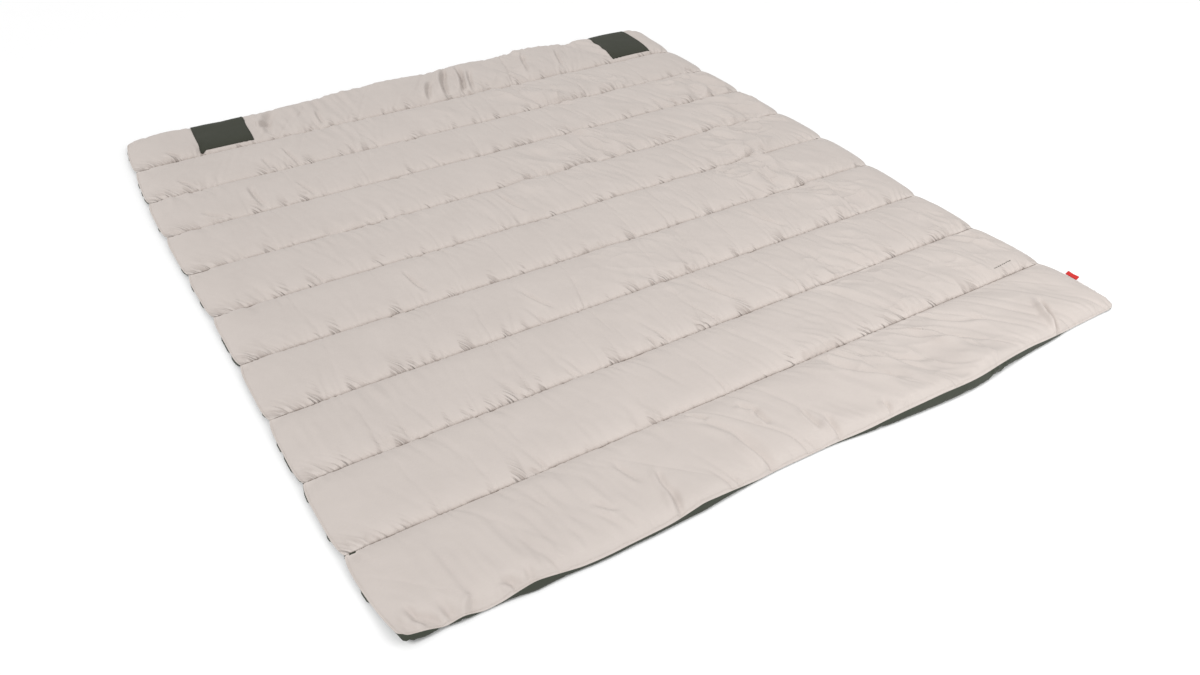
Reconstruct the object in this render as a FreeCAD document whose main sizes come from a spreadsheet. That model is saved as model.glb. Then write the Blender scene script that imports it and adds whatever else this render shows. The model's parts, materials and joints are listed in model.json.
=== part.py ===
import FreeCAD, Part
import os

# A quilted camp quilt lying flat: ten filled channels side by side, sewn through along nine
# straight seams, with a plain top cover, a lining, two patches and a tag.  +X runs along the
# seams, +Y points to the head end, +Z is up, and the floor is z = 0.  Millimetres.

DIMENSIONS = (
    ("quilt_width", 1988, "cloth edge to cloth edge, along the seams"),
    ("quilt_length", 2200, "foot edge to head edge"),
    ("channel_count", 10, "filled channels along the length"),
    ("full_thickness", 46, "floor to the crown of a channel"),
    ("seam_height", 14, "height at which cover and lining are sewn together"),
    ("hinge_gap", 1.5, "from a quilting seam's line to the channels beside it"),
    ("cover_thickness", 1, "top cover and lining, each with its scrim"),
    ("side_slope_run", 60, "cover's slope at the two side edges, seen from above"),
    ("under_slope_run", 45, "lining's slope at the two side edges"),
    ("under_rise_run", 22, "lining's slope beside a quilting seam"),
    ("fill_gap", 0.3, "play between the filling and the cloth round it"),
    ("fill_setback", 12, "from an edge or seam to the filling"),
    ("quilting_radius", 0.75, "quilting thread as a round bead"),
    ("edge_thread_radius", 0.4, "closing thread inside the turned edges"),
    ("edge_thread_setback", 6, "from the quilt's edge to its closing thread"),
    ("patch_width", 168, "sewn patch, along the head edge"),
    ("patch_depth", 205, "sewn patch, from the head edge inwards"),
    ("patch_thickness", 0.8, "patch cloth"),
    ("patch_hem", 3, "from the patch's rim to its stitching"),
    ("patch_thread", 0.6, "patch stitching, width"),
    ("left_patch_place", -690, "middle of the left patch along the head edge"),
    ("right_patch_place", 838, "middle of the right patch along the head edge"),
    ("tag_length", 34, "side tag along the edge"),
    ("tag_proud", 11, "side tag from its sewn root to its fold"),
    ("tag_thickness", 0.8, "folded tape"),
    ("tag_root_gap", 1, "from the cloth's edge to the tag's sewn root"),
    ("tag_root_radius", 0.5, "tag's rounded root"),
    ("tag_place", -969, "middle of the tag along the side edge"),
    ("whole_shift", -6, "sets the cloth and its tag evenly about the middle"),
)

HALF_WIDTH = "Size.quilt_width / 2"
PITCH = "Size.quilt_length / Size.channel_count"
HALF_SPAN = f"({PITCH} / 2 - Size.hinge_gap)"
RISE = "(Size.full_thickness - Size.seam_height)"
# A face that slopes moves sideways by more than the cloth is thick.
SIDE_STEP = (f"(Size.cover_thickness * sqrt(Size.side_slope_run^2 + {RISE}^2) / {RISE})")
UNDER_STEP = ("(Size.cover_thickness * sqrt(Size.under_slope_run^2 + Size.seam_height^2)"
              " / Size.seam_height)")
SEAM_STEP = ("(Size.cover_thickness * sqrt(Size.under_rise_run^2 + Size.seam_height^2)"
             " / Size.seam_height)")
DOME_RADIUS = f"(({HALF_SPAN}^2 + {RISE}^2) / (2 * {RISE}))"
CLEAR = "10"

ALONG_X = FreeCAD.Rotation(FreeCAD.Vector(0, 1, 0), 90)
ALONG_Y = FreeCAD.Rotation(FreeCAD.Vector(1, 0, 0), -90)
UPWARDS = FreeCAD.Rotation(FreeCAD.Vector(1, 0, 0), 90)

doc = FreeCAD.newDocument("camp_quilt")
sub_parts = []


def write_sheet():
    sheet = doc.addObject("Spreadsheet::Sheet", "Size")
    for row, (alias, value, note) in enumerate(DIMENSIONS, start=1):
        sheet.set(f"A{row}", note)
        sheet.set(f"B{row}", str(value))
        sheet.setAlias(f"B{row}", alias)
    doc.recompute()


def primitive(kind, name, sizes, rotation=None, place=None):
    """A Part primitive whose sizes and place are bound to the sheet."""
    item = doc.addObject(kind, name)
    if rotation:
        item.Placement = FreeCAD.Placement(FreeCAD.Vector(), rotation)
    for prop, expression in sizes.items():
        item.setExpression(prop, expression)
    for axis, expression in (place or {}).items():
        item.setExpression(f"Placement.Base.{axis}", expression)
    return item


def cylinder_along_x(name, radius, length, y, z):
    return primitive("Part::Cylinder", name, {"Radius": radius, "Height": length}, ALONG_X,
                     {"x": f"-({length}) / 2", "y": y, "z": z})


def cylinder_along_y(name, radius, length, x, y, z):
    return primitive("Part::Cylinder", name, {"Radius": radius, "Height": length}, ALONG_Y,
                     {"x": x, "y": f"{y} - ({length}) / 2", "z": z})


def box(name, length, low_y, high_y, low_z, high_z, x="0"):
    sizes = {"Length": length, "Width": f"({high_y}) - ({low_y})",
             "Height": f"({high_z}) - ({low_z})"}
    return primitive("Part::Box", name, sizes, None,
                     {"x": f"{x} - ({length}) / 2", "y": low_y, "z": low_z})


def frustum(name, low_z, high_z, low_half, high_half, y="0"):
    """A block with four flat slopes: half sizes (x, y) at its low and its high face."""
    sizes = {"Ymin": low_z, "Ymax": high_z,
             "Xmin": f"-({low_half[0]})", "Xmax": low_half[0],
             "Zmin": f"-({low_half[1]})", "Zmax": low_half[1],
             "X2min": f"-({high_half[0]})", "X2max": high_half[0],
             "Z2min": f"-({high_half[1]})", "Z2max": high_half[1]}
    return primitive("Part::Wedge", name, sizes, UPWARDS, {"y": y})


def boolean(kind, name, base, tool):
    item = doc.addObject(kind, name)
    item.Base = base
    item.Tool = tool
    return item


def common(name, base, tool):
    return boolean("Part::Common", name, base, tool)


def cut(name, base, tool):
    return boolean("Part::Cut", name, base, tool)


def fuse(name, base, tool):
    return boolean("Part::Fuse", name, base, tool)


def sub_part(label, forms, y="0", x="0"):
    """One named piece, made of solids set down at its own place."""
    item = doc.addObject("Part::Compound", label)
    item.Label = label
    item.Links = forms
    item.setExpression("Placement.Base.x", f"Size.whole_shift + {x}")
    item.setExpression("Placement.Base.y", y)
    sub_parts.append(item)
    return item


def dome(name, inset, side_step):
    """The space under a channel's crown, down to seam height, for a given inset."""
    crown = cylinder_along_x(f"{name}_crown", f"{DOME_RADIUS} - {inset}",
                             "Size.quilt_width", "0", f"Size.full_thickness - {DOME_RADIUS}")
    reach = f"{PITCH}"
    base_half = f"{HALF_WIDTH} - {side_step}"
    slopes = frustum(f"{name}_slopes", "Size.seam_height", "Size.full_thickness",
                     (base_half, reach), (f"{base_half} - Size.side_slope_run", reach))
    return common(name, crown, slopes)


def top_cover():
    return cut("cover_form", dome("cover_outside", "0", "0"),
               dome("cover_inside", "Size.cover_thickness", SIDE_STEP))


def under_side(name, floor, side_step, seam_step, y="0"):
    """The space from the lining's flat up to seam height, for a given inset."""
    part_up = f"({floor} / Size.seam_height)"
    top = (f"{HALF_WIDTH} - {side_step}", f"{HALF_SPAN} - {seam_step}")
    low = (f"{top[0]} - Size.under_slope_run * (1 - {part_up})",
           f"{top[1]} - Size.under_rise_run * (1 - {part_up})")
    return frustum(name, floor, "Size.seam_height", low, top, y)


def lining():
    return cut("lining_form", under_side("lining_outside", "0", "0", "0"),
               under_side("lining_inside", "Size.cover_thickness", UNDER_STEP, SEAM_STEP))


def filling():
    """One batt: a crowned upper half on a flat lower half, joined at seam height."""
    half_width = f"{HALF_WIDTH} - Size.fill_setback"
    half_span = f"({HALF_SPAN} - Size.fill_setback)"
    play = "(Size.cover_thickness + Size.fill_gap)"
    rise = f"({RISE} - {play})"
    radius = f"(({half_span}^2 + {rise}^2) / (2 * {rise}))"
    crown_z = f"(Size.full_thickness - {play})"
    crown = cylinder_along_x("filling_crown", radius, "Size.quilt_width", "0",
                             f"{crown_z} - {radius}")
    slopes = frustum("filling_slopes", "Size.seam_height", crown_z, (half_width, PITCH),
                     (f"{HALF_WIDTH} - Size.side_slope_run - {SIDE_STEP} * 1.5", PITCH))
    upper = common("filling_upper", crown, slopes)
    lower = frustum("filling_lower", play, "Size.seam_height",
                    (f"{HALF_WIDTH} - Size.under_slope_run - {UNDER_STEP}",
                     f"{HALF_SPAN} - Size.under_rise_run - {SEAM_STEP}"),
                    (half_width, half_span))
    return fuse("filling_form", upper, lower)


def side_threads():
    """The closing stitches inside one channel's two side edges."""
    length = f"2 * ({HALF_SPAN} - Size.edge_thread_setback - 2)"
    place = f"({HALF_WIDTH} - Size.edge_thread_setback)"
    return [cylinder_along_y(f"side_thread_{side}", "Size.edge_thread_radius", length,
                             f"{sign} * {place}", "0", "Size.seam_height")
            for side, sign in (("left", "-1"), ("right", "1"))]


def end_thread():
    """The closing stitches inside the head or the foot edge."""
    length = f"Size.quilt_width - 2 * (Size.edge_thread_setback + 4)"
    return cylinder_along_x("end_thread_form", "Size.edge_thread_radius", length, "0",
                            "Size.seam_height")


def quilting_thread():
    """The bead of thread on a quilting seam's own line."""
    return cylinder_along_x("quilting_form", "Size.quilting_radius",
                            "Size.quilt_width - 2 * Size.edge_thread_setback", "0",
                            "Size.seam_height")


def crown_skin(name, inner, outer):
    """A layer over the cover's crown, between two heights above the cloth."""
    around = [cylinder_along_x(f"{name}_{label}", f"{DOME_RADIUS} + {height}",
                               "Size.quilt_width", "0",
                               f"Size.full_thickness - {DOME_RADIUS}")
              for label, height in (("outer", outer), ("inner", inner))]
    return cut(name, *around)


def patch():
    """A cloth patch over the head edge: its top, and the turn down under the edge."""
    high = f"Size.full_thickness + {CLEAR}"
    end = f"{HALF_SPAN} + {CLEAR}"
    top = common("patch_top", crown_skin("patch_skin", "0", "Size.patch_thickness"),
                 box("patch_top_area", "Size.patch_width", f"{HALF_SPAN} - Size.patch_depth",
                     end, "Size.seam_height", high))
    step = "Size.patch_thickness * " + SEAM_STEP
    under_skin = cut("patch_under_skin", under_side("patch_under_out", "0", "0", "0", step),
                     under_side("patch_under_in", "0", "0", "0"))
    under = common("patch_under", under_skin,
                   box("patch_under_area", "Size.patch_width",
                       f"{HALF_SPAN} - Size.under_rise_run", end, "Size.patch_thickness",
                       "Size.seam_height"))
    return fuse("patch_form", top, under)


def patch_stitching():
    """A row of stitches round the patch's two sides and its inner end."""
    high = f"Size.full_thickness + {CLEAR}"
    end = f"{HALF_SPAN} - Size.patch_hem"
    first = f"{HALF_SPAN} - Size.patch_depth + Size.patch_hem"
    skin = crown_skin("stitch_skin", "Size.patch_thickness",
                      "Size.patch_thickness + Size.patch_thread / 2")
    width = "Size.patch_width - 2 * Size.patch_hem"
    whole = common("stitch_whole", skin,
                   box("stitch_outside", width, first, end, "Size.seam_height", high))
    return cut("stitch_form", whole,
               box("stitch_inside", f"{width} - 2 * Size.patch_thread",
                   f"{first} + Size.patch_thread", f"{end} + {CLEAR}", "0", high))


def tag():
    """A folded tape tag with a rounded root, on the line it swings about."""
    root_x = f"({HALF_WIDTH} + Size.tag_root_gap)"
    half = "Size.tag_length / 2"
    half_thick = "Size.tag_thickness / 2"
    tape = box("tag_tape", "Size.tag_proud", f"-{half}", half,
               f"Size.seam_height - {half_thick}", f"Size.seam_height + {half_thick}",
               f"{root_x} + Size.tag_proud / 2")
    root = cylinder_along_y("tag_root", "Size.tag_root_radius", "Size.tag_length", root_x,
                            "0", "Size.seam_height")
    return fuse("tag_form", tape, root)


def channel_place(number):
    """Middle of a channel, counted from the head end."""
    return f"(Size.quilt_length / 2 - {PITCH} * {number - 0.5})"


def build():
    write_sheet()
    channel_count = int(doc.Size.channel_count)
    channel_forms = {"top_cover": [top_cover()], "filling": [filling()],
                     "lining": [lining()], "side_seam_thread": side_threads()}
    for number in range(1, channel_count + 1):
        for piece, forms in channel_forms.items():
            sub_part(f"{piece}_{number:02d}", forms, channel_place(number))
    quilting = quilting_thread()
    for number in range(1, channel_count):
        sub_part(f"quilting_thread_{number:02d}", [quilting],
                 f"Size.quilt_length / 2 - {PITCH} * {number}")
    closing = end_thread()
    end_place = f"({HALF_SPAN} - Size.edge_thread_setback)"
    sub_part("head_edge_thread", [closing], f"{channel_place(1)} + {end_place}")
    sub_part("foot_edge_thread", [closing], f"{channel_place(channel_count)} - {end_place}")
    patch_form = patch()
    stitch_form = patch_stitching()
    for side in ("left", "right"):
        place = f"Size.{side}_patch_place"
        sub_part(f"head_patch_{side}", [patch_form], channel_place(1), place)
        sub_part(f"head_patch_{side}_thread", [stitch_form], channel_place(1), place)
    sub_part("side_tag", [tag()], "Size.tag_place")
    doc.recompute()


def check_and_write():
    for item in doc.Objects:
        if "Invalid" in item.State or "Error" in item.State:
            raise RuntimeError(f"{item.Name} did not compute: {item.State}")
    for item in sub_parts:
        if item.Shape.isNull() or not item.Shape.isValid() or not item.Shape.Solids:
            raise RuntimeError(f"{item.Label} is not a valid solid")
    os.makedirs("parts", exist_ok=True)
    for item in sub_parts:
        item.Shape.exportStep(os.path.join("parts", f"{item.Label}.step"))
        print(f"{item.Label}: {len(item.Shape.Solids)} solids, {item.Shape.Volume:.0f} mm3")


build()
check_and_write()
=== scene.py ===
import json
import math

import bpy
import numpy as np
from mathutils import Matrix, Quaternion, Vector


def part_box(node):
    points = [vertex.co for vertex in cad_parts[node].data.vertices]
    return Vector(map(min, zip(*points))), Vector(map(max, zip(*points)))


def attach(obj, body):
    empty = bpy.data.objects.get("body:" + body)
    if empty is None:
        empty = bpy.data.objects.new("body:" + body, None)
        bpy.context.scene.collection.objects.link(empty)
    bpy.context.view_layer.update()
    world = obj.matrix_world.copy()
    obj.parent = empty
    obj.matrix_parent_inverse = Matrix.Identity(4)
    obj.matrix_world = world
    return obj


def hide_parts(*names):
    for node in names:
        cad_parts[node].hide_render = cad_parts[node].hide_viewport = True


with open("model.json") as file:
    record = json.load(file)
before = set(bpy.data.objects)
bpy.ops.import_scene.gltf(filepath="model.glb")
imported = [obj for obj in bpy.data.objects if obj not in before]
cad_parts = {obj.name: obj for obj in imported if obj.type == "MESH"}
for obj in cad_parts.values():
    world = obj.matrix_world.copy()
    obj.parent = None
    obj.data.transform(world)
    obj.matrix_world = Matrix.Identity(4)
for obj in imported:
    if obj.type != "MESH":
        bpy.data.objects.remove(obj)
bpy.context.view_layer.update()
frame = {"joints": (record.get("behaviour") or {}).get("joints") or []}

# A camp quilt lying flat.  Each channel is one closed pad of cover and lining, laid from its
# flat cut size to its sewn size by cloth simulation, so that the spare cloth puckers along the
# quilting seams.  Metres; +X along the seams, +Y to the head end, +Z up.

# ---- places, from the frame
joints = {joint["name"]: joint for joint in frame["joints"]}
FOLDS = sorted(name for name in joints if name.startswith("fold_"))
seam_y = [joints[name]["pos_m"][1] for name in FOLDS]
seam_z = joints[FOLDS[0]]["pos_m"][2]
pitch = seam_y[0] - seam_y[1]
lines_y = [seam_y[0] + pitch] + seam_y + [seam_y[-1] - pitch]
cover_low, cover_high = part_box("top_cover_01")
left_x = cover_low[0]
right_x = cover_high[0]
crown_z = cover_high[2]
CHANNELS = len(lines_y) - 1

# ---- cloth layout
COLS = 285
ROWS = 32
rng = np.random.default_rng(23)
AS_IS = 0.1  # a blur, in points, too small to change anything

# How far the sides are drawn in at the seams' ends and at the left corners.
LEFT_NOTCH = 0.007
RIGHT_NOTCH = 0.014
NOTCH_POWER = 3
LEFT_CORNER_IN = 0.034
CORNER_POWER = 8
CORNER_ROUND = 0.016
FRONT_RIGHT_ROUND = 0.034
# How high the rims lie, and how far in from the end edges they are felt.
SIDE_LOW = 0.010
SIDE_FALL = 60
HEAD_EDGE_Z = 0.015
RIM_POWER = 4
# Small uneven shifts of the cloth along the seams and of the end edges.
BUNCHING = 0.0022
BUNCHING_REACH = 0.022
EDGE_WAVE = 0.002
EDGE_WAVE_REACH = 0.05
END_FADE = 0.06
# Height of the closing seam along the foot edge, (x, z): the lining shows where it is high.
FOOT_SEAM = [(-1.00, .026), (-0.95, .018), (-0.92, .006), (-0.88, .016), (-0.85, .004),
             (-0.80, .009), (-0.74, .024), (-0.69, .016), (-0.65, .011), (-0.55, .012),
             (-0.43, .013), (-0.36, .022), (-0.28, .013),
             (-0.20, .005), (-0.05, .004), (0.05, .010), (0.16, .021), (0.31, .028),
             (0.50, .024), (0.64, .019), (0.73, .013), (0.79, .005), (0.88, .003),
             (0.99, .006)]
# How far each edge bulges out of line, as (place along it, metres).
FOOT_BULGE = [(-1.00, .008), (-0.90, .017), (-0.70, .026), (-0.47, .036), (-0.30, .026),
              (-0.18, .023), (-0.02, .018), (0.08, .030), (0.18, .042), (0.30, .038),
              (0.44, .043), (0.54, .031), (0.64, .021), (0.78, .014), (1.00, .014)]
HEAD_BULGE = [(-1.00, .004), (-0.74, -.012), (-0.58, -.012), (-0.42, .000), (-0.26, .018),
              (-0.10, .032), (0.05, .020), (0.14, .030), (0.22, .038), (0.31, .029),
              (0.38, .036), (0.46, .052), (0.56, .036), (0.66, .023), (0.80, .030),
              (1.00, .024)]
HEAD_LIFT = [(-1.00, .003), (-0.70, .000), (-0.30, .001), (-0.10, .009), (0.05, .003),
             (0.20, .009), (0.32, .004), (0.46, .010), (0.62, .002), (0.80, .006),
             (1.00, .002)]
LEFT_BULGE = [(-1.10, -.003), (-0.90, -.008), (-0.10, -.010), (0.15, -.003), (0.40, .002),
              (0.60, .004), (0.85, -.003), (1.10, .003)]
RIGHT_BULGE = [(-1.10, .001), (-1.03, .000), (-0.93, -.003), (-0.80, -.012),
               (-0.50, -.017), (-0.30, -.004), (-0.10, .010), (0.15, .014), (0.40, .010),
               (0.90, .013), (1.10, .012)]
BULGE_BLUR = 0.03
FOOT_SEAM_BLUR = 0.009


def curve(table, place, blur=BULGE_BLUR):
    """A smooth curve near a table's points."""
    shifts = np.linspace(-2, 2, 9)
    weights = np.exp(-0.5 * shifts ** 2)
    total = sum(w * np.interp(place + blur * d, *zip(*table)) for w, d in zip(weights, shifts))
    return total / weights.sum()


def gaussian_blur(field, reach):
    """Blurs the last two axes by a reach in points, wrapping round."""
    down = np.fft.fftfreq(field.shape[-2])[:, None] * reach[0]
    across = np.fft.fftfreq(field.shape[-1])[None, :] * reach[1]
    soft = np.exp(-2 * np.pi ** 2 * (down ** 2 + across ** 2))
    return np.real(np.fft.ifft2(np.fft.fft2(field) * soft))


def soft_noise(shape, reach):
    """Blurred noise of unit strength."""
    field = gaussian_blur(rng.normal(size=shape), reach)
    return field / field.std()


def smoothstep(low, high, value):
    """0 below a low value and 1 above a high one, with a soft step between."""
    share = np.clip((value - low) / (high - low), 0, 1)
    return share * share * (3 - 2 * share)


def notch(share, channel):
    """1 where a side edge is drawn in at a seam's end, 0 midway and at the corners."""
    drawn = (1 - np.sin(np.pi * share)) ** NOTCH_POWER
    if channel == 0:
        drawn = np.where(share > 0.5, 0, drawn)
    if channel == CHANNELS - 1:
        drawn = np.where(share < 0.5, 0, drawn)
    return drawn


share_across = np.linspace(0, 1, COLS)
share_up = np.linspace(0, 1, ROWS)
step_x = (right_x - left_x) / (COLS - 1)
step_y = pitch / (ROWS - 1)
flat_x = left_x + (right_x - left_x) * share_across
near_end = np.minimum(flat_x - left_x, right_x - flat_x)
fade_ends = smoothstep(0, END_FADE, near_end)
bunching = soft_noise((CHANNELS + 1, 1, COLS), (AS_IS, BUNCHING_REACH / step_x))[:, 0]
bunching *= BUNCHING * fade_ends
edge_wave = soft_noise((2, 1, COLS), (AS_IS, EDGE_WAVE_REACH / step_x))[:, 0] * EDGE_WAVE
foot_seam_z = curve(FOOT_SEAM, flat_x, FOOT_SEAM_BLUR)


def round_corner(x, y, row, col, radius):
    """Rounds one corner of a strip, given by its row and column, with an arc of a radius."""
    outward_x = 1 if col else -1
    outward_y = 1 if row else -1
    beside = np.clip(1 - outward_x * (x[:, [col]] - x) / radius, 0, 1)
    beyond = np.clip(1 - outward_y * (y[[row], :] - y) / radius, 0, 1)
    shift_x = radius * outward_x * beside * (1 - np.sqrt(1 - beyond ** 2 / 2))
    shift_y = radius * outward_y * beyond * (1 - np.sqrt(1 - beside ** 2 / 2))
    return x - shift_x, y - shift_y


def laid_strip(channel):
    """Where a channel's cloth lies once it is sewn: exact on its rim, plain inside."""
    share, across = np.meshgrid(share_up, share_across, indexing="ij")
    drawn = notch(share, channel)
    y = lines_y[channel + 1] + pitch * share
    corner = (np.abs(y) / lines_y[0]) ** CORNER_POWER
    low_x = left_x + LEFT_NOTCH * drawn + LEFT_CORNER_IN * corner - curve(LEFT_BULGE, y)
    high_x = right_x - RIGHT_NOTCH * drawn + curve(RIGHT_BULGE, y)
    x = low_x + (high_x - low_x) * across
    x += bunching[channel + 1] * (1 - share) + bunching[channel] * share
    left_side = SIDE_LOW + (seam_z - SIDE_LOW) * drawn
    z = seam_z + (left_side - seam_z) * np.exp(-across * SIDE_FALL)
    if channel == 0:
        rim = share ** RIM_POWER
        y += (edge_wave[0] - EDGE_WAVE) * rim + curve(HEAD_BULGE, x) * share
        z += (HEAD_EDGE_Z - seam_z) * rim
        x, y = round_corner(x, y, -1, -1, CORNER_ROUND)
        x, y = round_corner(x, y, -1, 0, CORNER_ROUND)
    if channel == CHANNELS - 1:
        rim = (1 - share) ** RIM_POWER
        y += (edge_wave[1] + EDGE_WAVE) * rim - curve(FOOT_BULGE, x) * (1 - share)
        z += (foot_seam_z - z) * rim
        x, y = round_corner(x, y, 0, -1, FRONT_RIGHT_ROUND)
        x, y = round_corner(x, y, 0, 0, CORNER_ROUND)
    return np.stack([x, y, z], -1)


# ---- flat cut and simulation
# Spare length as a share: along the seams, which grows over a span of x, and across them.
SPARE_LEFT = 0.015
SPARE_RIGHT = 0.024
SPARE_SPAN = (-0.1, 0.5)
SPARE_END = 0.30
SPARE_END_REACH = 0.035
SPARE_UP = 0.048
SPARE_UP_RIM = 0.065
SPARE_UP_FADE = 0.05
PATCH_STIFFENING = 0.25
DRAG = 0.030
DRAG_SPAN = (-0.25, 0.45)
FIRST_ARCH = 0.010
SEED_DEPTH = 0.0008
SEED_REACH = (0.022, 0.007)
STIFF_SPANS = [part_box("head_patch_left"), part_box("head_patch_right")]


def flat_strip(channel):
    """A channel's cloth as cut: longer than it is sewn, and dragged aside on the right."""
    share = np.tile(share_up[:, None], (1, COLS))
    spare = SPARE_LEFT + (SPARE_RIGHT - SPARE_LEFT) * smoothstep(*SPARE_SPAN, flat_x)
    spare = spare * fade_ends + SPARE_END * np.exp(-near_end / SPARE_END_REACH)
    if channel == 0:
        for low, high in STIFF_SPANS:
            under_patch = (flat_x > low[0]) & (flat_x < high[0])
            spare = np.where(under_patch, spare * PATCH_STIFFENING, spare)
    long_x = np.concatenate([[0], np.cumsum((1 + spare[1:]) * step_x)])
    long_x += (left_x + right_x - long_x[-1]) / 2
    drag = DRAG * smoothstep(*DRAG_SPAN, flat_x)
    cut_x = long_x[None, :] - drag[None, :] * pitch * (0.5 - share)
    rim = channel in (0, CHANNELS - 1)
    spare_up = (SPARE_UP_RIM if rim else SPARE_UP) * smoothstep(0, SPARE_UP_FADE, near_end)
    middle = lines_y[channel + 1] + pitch / 2
    length = np.full(COLS, pitch)
    if channel == 0:
        length += curve(HEAD_BULGE, flat_x)
        middle = middle + curve(HEAD_BULGE, flat_x) / 2
    if channel == CHANNELS - 1:
        length += curve(FOOT_BULGE, flat_x)
        middle = middle - curve(FOOT_BULGE, flat_x) / 2
    cut_y = middle + length * (share - 0.5) * (1 + spare_up[None, :])
    arch = np.sin(np.pi * share)
    seeds = soft_noise((ROWS, COLS), (SEED_REACH[0] / step_y, SEED_REACH[1] / step_x))
    cut_z = seam_z + FIRST_ARCH * arch + SEED_DEPTH * seeds * np.minimum(1, 2 * arch)
    return np.stack([cut_x, cut_y, cut_z], -1)


def grid_quads(rows, cols, first=0):
    """The faces of a grid of points, as indices from its first point."""
    index = first + np.arange(rows * cols).reshape(rows, cols)
    corners = (index[:-1, :-1], index[:-1, 1:], index[1:, 1:], index[1:, :-1])
    return np.stack(corners, -1).reshape(-1, 4)


def rim_mask(rows, cols):
    """True on the outer points of a grid."""
    rim = np.zeros((rows, cols), bool)
    rim[[0, -1], :] = True
    rim[:, [0, -1]] = True
    return rim


SIM_FRAMES = 24
LAYING_FRAMES = 10
CLOTH = {"quality": 5, "mass": 0.05, "tension_stiffness": 15, "compression_stiffness": 15,
         "shear_stiffness": 5, "bending_stiffness": 1.0, "tension_damping": 1,
         "compression_damping": 1, "shear_damping": 1, "vertex_group_mass": "sewn_rim",
         "pin_stiffness": 1, "use_pressure": True, "uniform_pressure_force": 90}


def simulate(flat, laid):
    """Lays the flat strips on their sewn rims under the filling's pressure."""
    strips = flat.shape[0]
    size = ROWS * COLS
    quads = np.concatenate([grid_quads(ROWS, COLS, size * n) for n in range(strips)])
    mesh = bpy.data.meshes.new("cloth_strips")
    mesh.from_pydata(flat.reshape(-1, 3).tolist(), [], quads.tolist())
    cloth = bpy.data.objects.new("cloth_strips", mesh)
    bpy.context.scene.collection.objects.link(cloth)
    rim = np.flatnonzero(np.tile(rim_mask(ROWS, COLS).ravel(), strips)).tolist()
    cloth.vertex_groups.new(name="sewn_rim").add(rim, 1.0, "REPLACE")
    cloth.shape_key_add(name="flat")
    key = cloth.shape_key_add(name="laid")
    key.data.foreach_set("co", laid.astype(np.float32).ravel())
    for value, at_frame in ((0, 1), (1, 1 + LAYING_FRAMES)):
        key.value = value
        key.keyframe_insert("value", frame=at_frame)
    for motion in mesh.shape_keys.animation_data.action.fcurves:
        for point in motion.keyframe_points:
            point.interpolation = "LINEAR"
    modifier = cloth.modifiers.new("Cloth", "CLOTH")
    for setting, value in CLOTH.items():
        setattr(modifier.settings, setting, value)
    modifier.settings.effector_weights.gravity = 0
    modifier.collision_settings.use_collision = False
    modifier.point_cache.frame_start = 1
    modifier.point_cache.frame_end = SIM_FRAMES
    scene = bpy.context.scene
    scene.frame_start = 1
    scene.frame_end = SIM_FRAMES
    for at_frame in range(1, SIM_FRAMES + 1):
        scene.frame_set(at_frame)
    graph = bpy.context.evaluated_depsgraph_get()
    settled = cloth.evaluated_get(graph).data
    places = np.empty(flat.size, np.float32)
    settled.vertices.foreach_get("co", places)
    bpy.data.objects.remove(cloth)
    scene.frame_set(1)
    return places.reshape(flat.shape).astype(float)


# ---- finer grid and creases
FINE_ROWS = 2 * ROWS - 1
FINE_COLS = 2 * COLS - 1
fine_up = np.linspace(0, 1, FINE_ROWS)
fine_x = np.linspace(left_x, right_x, FINE_COLS)
fine_end = np.minimum(fine_x - left_x, right_x - fine_x)
fine_step_x = step_x / 2
fine_step_y = step_y / 2


def finer(grid):
    """Halves the spacing of a grid of points, along a smooth curve through them."""
    for axis in (0, 1):
        grid = np.swapaxes(grid, 0, axis)
        ends = [2 * grid[:1] - grid[1:2], grid, 2 * grid[-1:] - grid[-2:-1]]
        padded = np.concatenate(ends)
        between = (9 * (padded[1:-2] + padded[2:-1]) - padded[:-3] - padded[3:]) / 16
        out = np.empty((2 * len(grid) - 1, *grid.shape[1:]))
        out[::2] = grid
        out[1::2] = between
        grid = np.swapaxes(out, 0, axis)
    return grid


whole = (CHANNELS * FINE_ROWS, FINE_COLS)


def slanted_noise(along, across, degrees):
    """Soft noise over all channels, drawn out along one direction; degrees from +Y."""
    turn = math.radians(degrees)
    down = np.fft.fftfreq(whole[0], fine_step_y)[:, None]
    side = np.fft.fftfreq(whole[1], fine_step_x)[None, :]
    lengthways = down * math.cos(turn) - side * math.sin(turn)
    sideways = down * math.sin(turn) + side * math.cos(turn)
    soft = np.exp(-2 * np.pi ** 2 * ((lengthways * along) ** 2 + (sideways * across) ** 2))
    field = np.real(np.fft.ifft2(np.fft.fft2(rng.normal(size=whole)) * soft))
    return field / field.std()


WANDER = 0.013
WANDER_REACH = 0.036


def wandering(field):
    """Shifts a field's rows sideways by soft random amounts, so that its lines wander."""
    shift = slanted_noise(WANDER_REACH, WANDER_REACH, 0) * WANDER
    x = np.clip(fine_x[None, :] + shift, left_x, right_x)
    return np.stack([np.interp(places, fine_x, row) for places, row in zip(x, field)])


# Lines in the cloth: strength, reach along, reach across, degrees, and a thin line's width.
DRAG_LINES = [(0.5, 0.028, 0.0080, 28), (1.0, 0.040, 0.014, 38), (1.2, 0.055, 0.026, 48)]
THIN_LINES = [(1.0, 0.030, 0.014, 30, 0.26), (0.9, 0.050, 0.026, 46, 0.22)]
BROAD_LINES = (0.065, 0.022, 50)
CROSS_LINES = (0.040, 0.006, 4)
SMALL_LINES = (0.012, 0.006, 15)
WHERE_REACH = 0.07
DRAG_LEAST = 0.15
DRAG_RANGE = (-0.5, 1.4)
CROSS_RANGE = (0.3, 1.8)
RIGHT_SPAN = (-0.25, 0.35)
FOOT_LEAST = 0.35
FOOT_SPAN = (-0.1, 0.3)

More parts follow.
